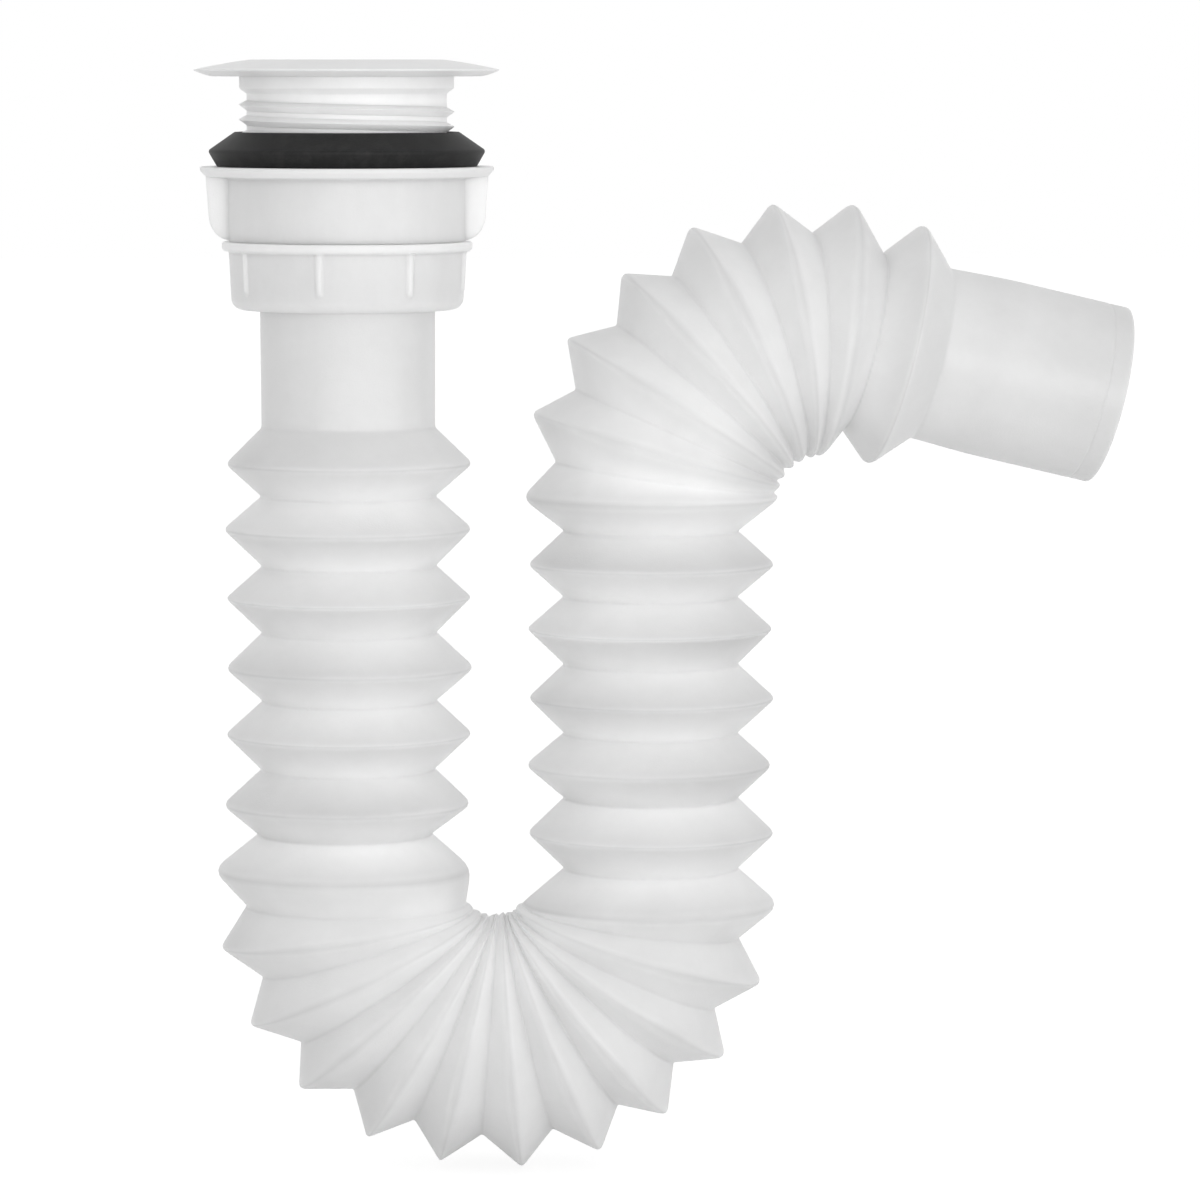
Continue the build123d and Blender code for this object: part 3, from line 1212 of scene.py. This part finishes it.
    @staticmethod
    def _along(place: Matrix, length: float) -> Matrix:
        """Place straight ahead on the hose's line."""
        return place @ Matrix.Translation((0, 0, length))

    @staticmethod
    def _around(place: Matrix, radius: float, angle: float) -> Matrix:
        """Place further round a bend."""
        out = Matrix.Translation((radius, 0, 0))
        back = Matrix.Translation((-radius, 0, 0))
        return place @ out @ Matrix.Rotation(angle, 4, "Y") @ back

    def _place(self, pleat: float) -> Matrix:
        """Place on the hose's line at a number of pleats from its start."""
        if pleat <= self.u_start:
            return self._along(self.leg_place, pleat * self.leg_pitch)
        if pleat <= self.u_end:
            turned = (pleat - self.u_start) / self.u_bend_pleats * math.pi
            return self._around(self.u_place, self.u_bend_radius, turned)
        if pleat <= self.top_start:
            return self._along(self.riser_place, (pleat - self.u_end) * self.riser_pitch)
        if pleat <= self.top_end:
            turned = (pleat - self.top_start) * self.top_bend_step
            return self._around(self.top_place, -self.top_bend_radius, -turned)
        return self._along(self.outlet_place, (pleat - self.top_end) * self.outlet_pitch)

    @staticmethod
    def _share(pleat: float, start: float, end: float) -> float:
        """Part of the pleat round a ring that lies in a bend, from 0 to 1."""
        return max(0.0, min(pleat + 0.5, end) - max(pleat - 0.5, start))

    def _circle(
        self,
        place: Matrix,
        radius: np.ndarray | float,
        shift: float,
        twist: float,
        lift: float = 0.0,
        stretch: float = 0.0,
    ) -> np.ndarray:
        """Points of a ring in the frame.

        Args:
            place: Place of the ring on the hose's line.
            radius: Radius of the ring, or one for each column.
            shift: Distance of its centre from the line, to the inside of the U-bend.
            twist: Angle that its columns are turned back by.
            lift: Distance along the line from the place.
            stretch: How much longer its radius is in the plane of the bends.

        Returns:
            One point for each column.
        """
        angles = even_angles(self.columns) - twist
        flat = np.stack(
            [
                shift + (radius + stretch) * np.cos(angles),
                radius * np.sin(angles),
                np.full(self.columns, lift),
                np.ones(self.columns),
            ]
        )
        return (np.array(place) @ flat)[:3].T

    def _station(self, step: int) -> Station:
        """Finds a root or crest of the bellows.

        Args:
            step: Number of half pleats from the start.

        Returns:
            Its place along the hose and its shares of the stretches.
        """
        pleat = step / 2
        return Station(
            pleat=pleat,
            is_crest=step % 2 == 1,
            at_end=step in (0, 2 * self.last_pleat),
            u_share=self._share(pleat, self.u_start - 0.5, self.u_end),
            top_share=self._share(pleat, self.top_start, self.top_end),
            riser_share=self._share(pleat, self.u_end + 0.5, self.top_start - 0.5),
            into_top=(pleat - self.top_start) / (self.top_end - self.top_start),
        )

    def _radius(self, station: Station) -> float:
        """Outside radius of a root or crest, before it is rounded."""
        if station.is_crest:
            return self.crest_radius
        past_top_bend = station.into_top >= 1 and not station.at_end
        return self.root_radius - (self.outlet_root_drop if past_top_bend else 0.0)

    def _shift(self, station: Station, outwards: float) -> float:
        """Distance of a ring's centre from the hose's line, to the inside of the U-bend.

        Args:
            station: Root or crest that the ring belongs to.
            outwards: Distance that a bend moves it to the outside, besides the bulge.

        Returns:
            The distance.
        """
        u_bulge = self.u_bend_crest_bulge if station.is_crest else self.u_bend_root_bulge
        top_bulge = self.top_bend_crest_bulge if station.is_crest else self.top_bend_root_bulge
        shift = station.top_share * (top_bulge + outwards) - station.u_share * (u_bulge + outwards)
        return shift - self._u_swelling(station.pleat)

    def _twist(self, station: Station) -> float:
        """Angle that a ring's columns are turned back by."""
        return self.outlet_turn if station.pleat > self.top_start else 0.0

    def _inner_ring(self, step: int) -> Ring:
        """One root or crest on the inside of the wall, by its number of half pleats."""
        station = self._station(step)
        thickening = (self.folded_wall - self.wall) / 2
        radius = self._radius(station) - (self.wall + station.bent_share * thickening)
        shift = self._shift(station, thickening)
        slide = self.riser_slide * station.riser_share
        place = self._place(station.pleat)
        return Ring(self._circle(place, radius, shift, self._twist(station), slide), 0.0)

    def _outer_ring(self, step: int) -> Ring:
        """One root or crest on the outside of the wall.

        Args:
            step: Number of half pleats from the start.

        Returns:
            The ring with its rounding and its marks.
        """
        station = self._station(step)
        twist = self._twist(station)
        towards_leg = np.cos(even_angles(self.columns) - twist)
        inwards = towards_leg * (station.u_share - station.top_share)
        half_reach = (self.folded_crest_reach if station.is_crest else self.folded_root_reach) / 2
        stretch = station.bent_share * half_reach
        lift = self.dice.gauss(0.0, self.pitch_wobble) + self.riser_slide * station.riser_share
        if station.is_crest:
            rounding = self._crest_rounding(station, inwards)
            rim = self._radius(station) + self._tip(rounding) + self._wobble(self.crest_wobble)
        else:
            rounding = self.root_rounding
            rise = self.bend_root_rise * station.bent_share
            rim = self._radius(station) + rise + self._wobble(self.root_wobble)
            stretch -= rise
        shift = self._shift(station, -half_reach)
        points = self._circle(self._place(station.pleat), rim, shift, twist, lift, stretch)
        wall, line = self._tones(station, towards_leg, inwards)
        return Ring(points, rounding, wall, line)

    def _crest_rounding(self, station: Station, inwards: np.ndarray) -> np.ndarray:
        """Seeded rounding of a crest, softer on the sides of a bend."""
        near, far = self.side_fade
        side = smooth_step(-far, -near, inwards) * (1 - smooth_step(near, far, inwards))
        softness = 1 + self.bend_softness * station.bent_share * side
        return self.crest_rounding * self.dice.uniform(*self.rounding_spread) * softness

    def _tones(
        self, station: Station, towards_leg: np.ndarray, inwards: np.ndarray
    ) -> tuple[np.ndarray | float, float]:
        """Painted light and shade of a root or crest on the outside.

        Args:
            station: Root or crest.
            towards_leg: How far each column faces the first leg, from -1 to 1.
            inwards: How far each column faces the inside of a bend, from -1 to 1.

        Returns:
            Its painted light and shade, and how much that changes along the middle of its edge.
        """
        if station.at_end:
            return self.end_root_wall, 0.0
        low, high = self.top_tone_fade
        top_tone = float(smooth_step(low, high, np.array(station.into_top)))
        tone_share = station.u_share + station.top_share * top_tone
        inside_share = smooth_step(*self.inner_fade, inwards)
        # Painted light on the inside of the U-bend and at the top bend's entry, painted shade on the
        # inside of the top bend, and the riser painted lighter towards the leg and darker on the far
        # side.
        entry = self.top_bend_entry_painted_light * max(0.0, 1 - station.into_top)
        top_painted_light_and_shade = entry + (self.top_bend_inner_painted_shade - entry) * inside_share
        extra = self.u_bend_inner_painted_light * station.u_share * inside_share
        extra = extra + station.top_share * top_painted_light_and_shade
        extra = extra + self.riser_painted_side_light * station.riser_share * towards_leg
        # Crest middles are painted darker and roots paler, standing for how light falls in the folds and
        # for thinner walls at the crests.
        if station.is_crest:
            wall = self._blend(self.crest_wall_and_painted_shade, self.bend_crest_wall_and_painted_shade, tone_share)
            line = self._blend(self.crest_painted_shade_line, self.bend_crest_painted_shade_line, station.bent_share)
            return wall + extra, line
        straight_root_wall_and_painted_light = self.outlet_root_wall_and_painted_light if station.into_top >= 1 else self.root_wall_and_painted_light
        wall = self._blend(straight_root_wall_and_painted_light, self.bend_root_wall_and_painted_light, tone_share)
        line = self._blend(self.root_painted_light_line, self.bend_root_painted_light_line, station.bent_share)
        return wall + extra, line

    @staticmethod
    def _blend(straight: float, bent: float, bent_share: float) -> float:
        """Value of a ring that lies partly in a bend."""
        return straight + (bent - straight) * bent_share

    def _u_swelling(self, pleat: float) -> float:
        """How far the U-bend swells at its entry, less how far it is flattened at its foot."""
        turned = max(0.0, pleat - self.u_start) / self.u_bend_pleats * math.pi
        ahead = max(0.0, self.u_start - pleat)
        rise = max(0.0, 1 - ahead / self.u_bend_entry_pleats) ** 2
        entry = self.u_bend_entry_bulge * rise * max(0.0, 1 - turned / self.u_bend_entry_angle)
        return entry - self.u_bend_flattening * math.sin(min(turned, math.pi))

    def _tip(self, rounding: np.ndarray) -> np.ndarray:
        """How much a crest's rounding would take off its radius."""
        rise = self.crest_radius - self.root_radius
        return rounding / 2 * rise / math.hypot(rise, self.leg_pitch / 2)

    def _wobble(self, size: float) -> np.ndarray:
        """Small seeded change of radius round a ring, never outwards."""
        angles = even_angles(self.columns)
        wave = np.zeros(self.columns)
        for order in self.wobble_orders:
            height = self.dice.gauss(0.0, 1.0) / order
            wave = wave + height * np.cos(order * angles + self.dice.uniform(0.0, self.wobble_phase))
        low, high = self.wobble_range
        return (np.clip(wave, low, high) - high) * size

    def _outside(self) -> list[Ring]:
        """Rings of the outside, from the lip to the spigot's end."""

        def cuff(radius: float, level: float, rounding: float) -> Ring:
            """Ring of the lip or the upper cuff."""
            points = self._circle(self.leg_place, radius, 0.0, 0.0, self.leg_top - level)
            return Ring(points, rounding, self.cuff_wall)

        end = self.spigot_taper + self.spigot_length

        def spigot(radius: float, reach: float, rounding: float) -> Ring:
            """Ring of the outlet spigot."""
            points = self._circle(self.spigot_place, radius, 0.0, self.outlet_turn, reach)
            # Painted shade: the spigot is painted darker towards its end.
            wall = self._blend(self.cuff_wall, self.spigot_end_painted_shade, reach / end)
            return Ring(points, rounding, wall)

        rings = [
            cuff(self.lip_radius, self.lip_top, self.lip_rounding),
            cuff(self.lip_radius, self.lip_bottom, self.lip_rounding),
            cuff(self.cuff_radius, self.lip_bottom, self.lip_rounding),
        ]
        rings += [self._outer_ring(step) for step in range(2 * self.last_pleat + 1)]
        trim = end - self.trim_line
        full = self.spigot_radius
        rings += [
            spigot(full, self.spigot_taper, self.taper_rounding),
            spigot(full, trim - self.trim_before, self.trim_edge_rounding),
            spigot(full - self.trim_depth, trim, self.trim_rounding),
            spigot(full - self.trim_far_depth, trim + self.trim_after, self.trim_rounding),
            spigot(full, end, self.end_rounding),
        ]
        return rings

    def _inside(self) -> list[Ring]:
        """Rings of the inside, from the spigot's end back to the lip."""
        end = self.spigot_taper + self.spigot_length
        inner = self.spigot_radius - self.spigot_wall
        bore = self.root_radius - self.wall
        rings = [
            Ring(self._circle(self.spigot_place, inner, 0.0, self.outlet_turn, reach), 0.0)
            for reach in (end, self.spigot_taper)
        ]
        steps = range(2 * self.last_pleat, -1, -1)
        rings += [self._inner_ring(step) for step in steps]
        lift = self.leg_top - self.lip_top
        rings.append(Ring(self._circle(self.leg_place, bore, 0.0, 0.0, lift), 0.0))
        return rings

    def draft(self) -> Draft:
        """Shapes the wall, with rounded crests and roots outside."""
        rings = self._outside() + self._inside()
        rows: list[np.ndarray] = []
        painted_light_rows: list[np.ndarray] = []
        for index, ring in enumerate(rings):
            before = rings[index - 1].points
            after = rings[(index + 1) % len(rings)].points
            samples = self._rounded(before, ring, after)
            for sample, nearness in samples:
                rows.append(sample)
                painted_light_rows.append(ring.marks(nearness))
        draft = Draft()
        # The hose's painted light and shade rides on its vertices.
        draft.add_grid(np.array(rows), marks={Mark.PAINTED_LIGHT_AND_WALL: np.array(painted_light_rows)})
        return draft

    def _rounded(
        self, before: np.ndarray, ring: Ring, after: np.ndarray
    ) -> list[tuple[np.ndarray, float]]:
        """Rounds a ring's edge along the wall.

        Args:
            before: Points of the ring before it.
            ring: Ring to round.
            after: Points of the ring after it.

        Returns:
            Rows of points, each with its nearness to the edge.
        """
        if np.all(ring.rounding <= 0):
            return [(ring.points, 1.0)]
        start = self._towards(ring.points, before, ring.rounding)
        end = self._towards(ring.points, after, ring.rounding)
        last = self.corner_samples - 1
        rows = []
        for sample in range(self.corner_samples):
            t = sample / last
            row = (1 - t) ** 2 * start + 2 * t * (1 - t) * ring.points + t**2 * end
            rows.append((row, (1 - abs(2 * t - 1)) ** 2))
        return rows

    def _towards(
        self, points: np.ndarray, others: np.ndarray, length: np.ndarray | float
    ) -> np.ndarray:
        """Points moved a length towards others, up to the limit of a rounding."""
        way = others - points
        distance = np.maximum(np.linalg.norm(way, axis=1, keepdims=True), 1e-6)
        share = np.minimum(np.reshape(length, (-1, 1)) / distance, self.rounding_limit)
        return points + way * share


@dataclass
class Studio:
    """White floor, one soft lamp and the photograph's camera."""

    focal_pixels: float = 5700.0
    image_pixels: float = 1200.0
    camera_place: tuple[float, float, float] = (0.0559, -1.263, 0.0023)
    camera_pitch: float = math.radians(5.362)
    sensor: float = 36.0
    floor_size: float = 12.0
    floor_gap: float = 0.0004
    floor_level: float = 0.92
    floor_white_share: float = 0.72
    floor_white_level: float = 1.2
    ambient: float = 0.75
    lamp_place: tuple[float, float, float] = (0.6, -1.6, -0.06)
    lamp_aim: tuple[float, float, float] = (0.07, 0.0, -0.12)
    lamp_size: tuple[float, float] = (4.0, 0.34)
    lamp_power: float = 17.0

    def build(self) -> None:
        """Sets the stage."""
        self._camera()
        self._floor()
        self._world()
        self._lamp()
        bpy.context.scene.view_settings.view_transform = "Standard"

    def _camera(self) -> None:
        """Places the camera as the photograph was taken."""
        lens = bpy.data.cameras.new("photo_camera")
        lens.sensor_fit = "HORIZONTAL"
        lens.sensor_width = self.sensor
        lens.lens = self.focal_pixels / self.image_pixels * self.sensor
        lens.clip_start = 0.05
        lens.clip_end = 50.0
        camera = bpy.data.objects.new("photo_camera", lens)
        camera.location = self.camera_place
        camera.rotation_euler = (math.pi / 2 - self.camera_pitch, 0.0, 0.0)
        bpy.context.scene.collection.objects.link(camera)
        bpy.context.scene.camera = camera

    def _seen_directly(self, graph: Graph) -> Value:
        """1 for rays that show the background itself, or 0."""
        path = graph.add("ShaderNodeLightPath")
        seen = graph.out(path, "Is Camera Ray") + graph.out(path, "Is Glossy Ray")
        return (seen + graph.out(path, "Is Transmission Ray")).at_most(1.0)

    def _floor(self) -> None:
        """Lays the pale floor just under the hose."""
        half = self.floor_size / 2
        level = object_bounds()[0].z - self.floor_gap
        mesh = bpy.data.meshes.new("floor")
        corners = [(-half, -half, level), (half, -half, level), (half, half, level), (-half, half, level)]
        mesh.from_pydata(corners, [], [(0, 1, 2, 3)])
        floor = bpy.data.objects.new("floor", mesh)
        bpy.context.scene.collection.objects.link(floor)
        material = bpy.data.materials.new("floor_white")
        material.use_nodes = True
        graph = Graph(material.node_tree)
        matt = graph.add("ShaderNodeBsdfDiffuse", None, {"Color": grey(self.floor_level)})
        shown = {"Color": grey(1.0), "Strength": self.floor_white_level}
        white = graph.add("ShaderNodeEmission", None, shown)
        share = self._seen_directly(graph) * self.floor_white_share
        inputs = {0: share, 1: matt.outputs[0], 2: white.outputs[0]}
        mixed = graph.add("ShaderNodeMixShader", None, inputs)
        graph.add("ShaderNodeOutputMaterial", None, {"Surface": mixed.outputs[0]})
        mesh.materials.append(material)
        floor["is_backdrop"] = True

    def _world(self) -> None:
        """Fills the room with even light and shows it white."""
        world = bpy.data.worlds.new("white_room")
        world.use_nodes = True
        bpy.context.scene.world = world
        graph = Graph(world.node_tree)
        lit = graph.add("ShaderNodeBackground", None, {"Color": grey(1.0), "Strength": self.ambient})
        shown = graph.add("ShaderNodeBackground", None, {"Color": grey(1.0), "Strength": 1.0})
        inputs = {0: self._seen_directly(graph), 1: lit.outputs[0], 2: shown.outputs[0]}
        mixed = graph.add("ShaderNodeMixShader", None, inputs)
        graph.add("ShaderNodeOutputWorld", None, {"Surface": mixed.outputs[0]})

    def _lamp(self) -> None:
        """Hangs the long soft lamp in front of the trap."""
        light = bpy.data.lights.new("front_lamp", "AREA")
        light.shape = "RECTANGLE"
        light.size, light.size_y = self.lamp_size
        light.energy = self.lamp_power
        lamp = bpy.data.objects.new("front_lamp", light)
        lamp.location = self.lamp_place
        facing = Vector(self.lamp_aim) - Vector(self.lamp_place)
        lamp.rotation_euler = facing.to_track_quat("-Z", "Y").to_euler()
        bpy.context.scene.collection.objects.link(lamp)


def main() -> None:
    """Builds the trap piece by piece, then the studio round it."""
    logging.basicConfig(level=logging.INFO, format="%(name)s %(message)s")
    finishes = Finishes()
    pieces: list[Piece] = [
        Waste(finishes.waste),
        MountingWasher(finishes.rubber),
        BackNut(finishes.moulded),
        UnionNut(finishes.moulded),
        SealWasher(finishes.rubber),
        BellowsHose(finishes.hose),
    ]
    for piece in pieces:
        piece.build()
    Studio().build()


if __name__ == "__main__":
    main()
